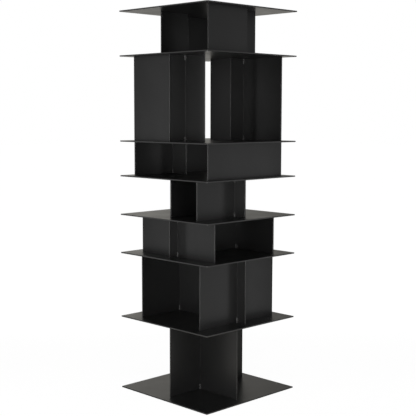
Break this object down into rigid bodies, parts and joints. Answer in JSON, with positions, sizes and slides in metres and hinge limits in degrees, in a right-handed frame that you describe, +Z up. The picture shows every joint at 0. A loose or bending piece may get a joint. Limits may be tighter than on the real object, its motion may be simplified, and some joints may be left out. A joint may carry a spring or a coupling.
{
  "type": "tower bookcase",
  "caption": "Free-standing black steel tower bookcase of square plates held apart by upright plates that step, cross and stand off from tier to tier.",
  "frame": {"origin": "on the floor, under the middle of the base plate", "axes": "+Z up; the corner at +X and -Y points to the camera in the picture, with the side facing -Y on the left and the side facing +X on the right"},
  "size_m": [0.6, 0.6, 1.839],
  "materials": {
    "satin_black_coat": "satin black powder coat with a fine orange peel"
  },
  "bodies": {
    "root": {"base_plate": "satin_black_coat", "shelf_plate_1": "satin_black_coat", "shelf_plate_2": "satin_black_coat", "shelf_plate_3": "satin_black_coat", "shelf_plate_4": "satin_black_coat", "shelf_plate_5": "satin_black_coat", "shelf_plate_6": "satin_black_coat", "top_plate": "satin_black_coat", "tier_1_spine": "satin_black_coat", "tier_1_wing_front": "satin_black_coat", "tier_1_wing_rear": "satin_black_coat", "tier_2_divider": "satin_black_coat", "tier_2_cheek_left": "satin_black_coat", "tier_2_cheek_right": "satin_black_coat", "tier_3_divider": "satin_black_coat", "tier_3_cheek_front": "satin_black_coat", "tier_3_cheek_rear": "satin_black_coat", "tier_4_spine": "satin_black_coat", "tier_4_cross": "satin_black_coat", "tier_4_side_plate_front": "satin_black_coat", "tier_4_side_plate_rear": "satin_black_coat", "tier_5_cheek_left": "satin_black_coat", "tier_5_cheek_right": "satin_black_coat", "tier_5_stub_left": "satin_black_coat", "tier_5_stub_right": "satin_black_coat", "tier_6_outer_front": "satin_black_coat", "tier_6_return_front": "satin_black_coat", "tier_6_inner_front": "satin_black_coat", "tier_6_outer_rear": "satin_black_coat", "tier_6_return_rear": "satin_black_coat", "tier_6_inner_rear": "satin_black_coat", "tier_7_outer_right": "satin_black_coat", "tier_7_return_right": "satin_black_coat", "tier_7_inner_right": "satin_black_coat", "tier_7_outer_left": "satin_black_coat", "tier_7_return_left": "satin_black_coat", "tier_7_inner_left": "satin_black_coat", "tier_1_welds": "satin_black_coat", "tier_2_welds": "satin_black_coat", "tier_3_welds": "satin_black_coat", "tier_4_welds": "satin_black_coat", "tier_5_welds": "satin_black_coat", "tier_6_welds": "satin_black_coat", "tier_7_welds": "satin_black_coat"}
  },
  "joints": []
}
